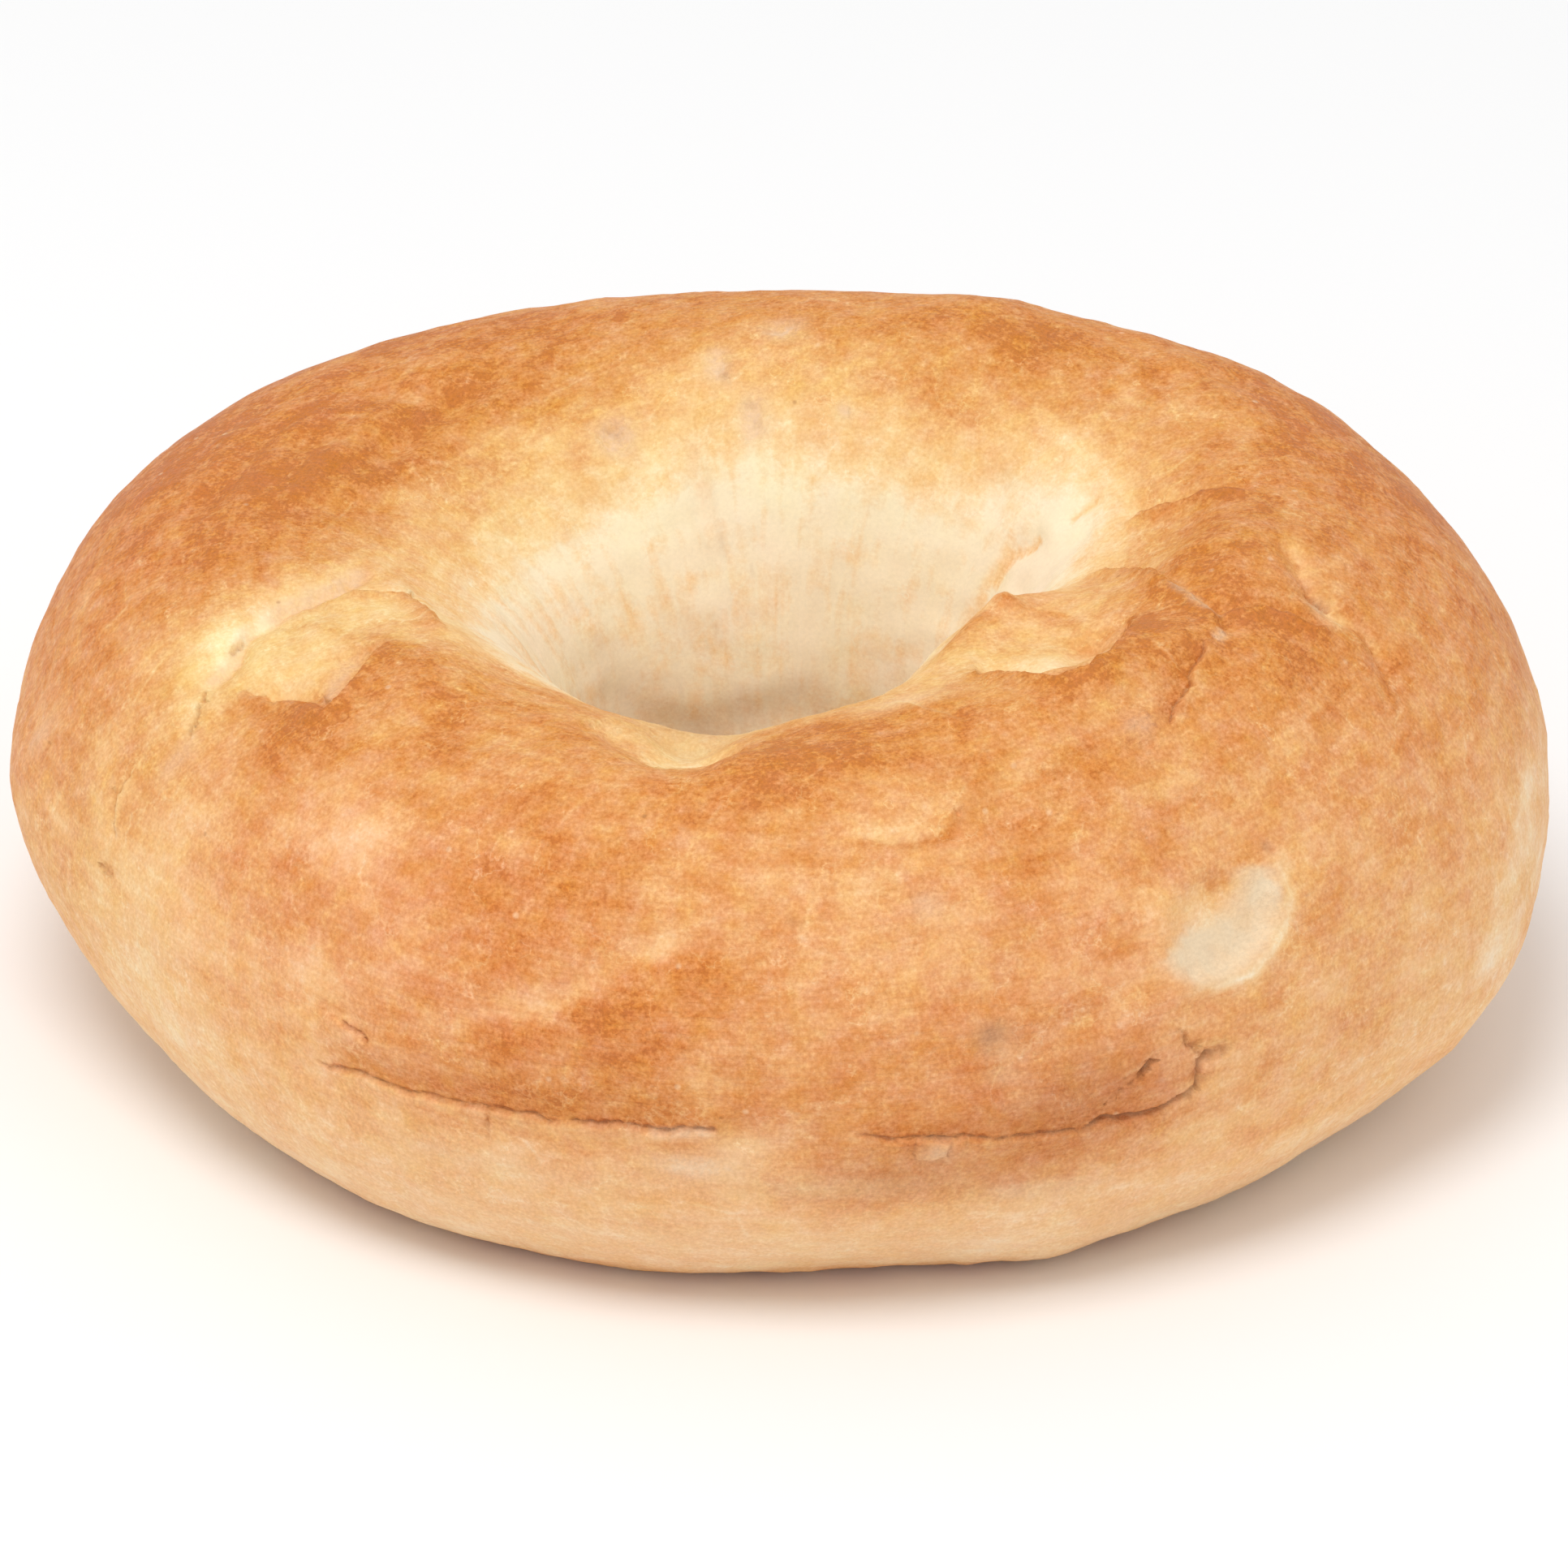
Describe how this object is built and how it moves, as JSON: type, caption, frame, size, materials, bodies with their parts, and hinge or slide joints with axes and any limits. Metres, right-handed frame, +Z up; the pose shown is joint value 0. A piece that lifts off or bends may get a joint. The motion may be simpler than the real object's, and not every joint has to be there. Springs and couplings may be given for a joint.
{
  "type": "bagel",
  "caption": "Plain baked bagel: a smooth ring of dough with a golden brown crust, a pale hole and a flat base.",
  "frame": {"origin": "middle of the outline, on the plane of the flat base", "axes": "+Z up through the hole, +X to the right across the widest part, -Y towards the front"},
  "size_m": [0.1162, 0.103, 0.0453],
  "materials": {
    "crust": "matte baked crust, golden brown with pale cream in the hole and on the lower side"
  },
  "bodies": {
    "root": {"bagel": "crust"}
  },
  "joints": []
}
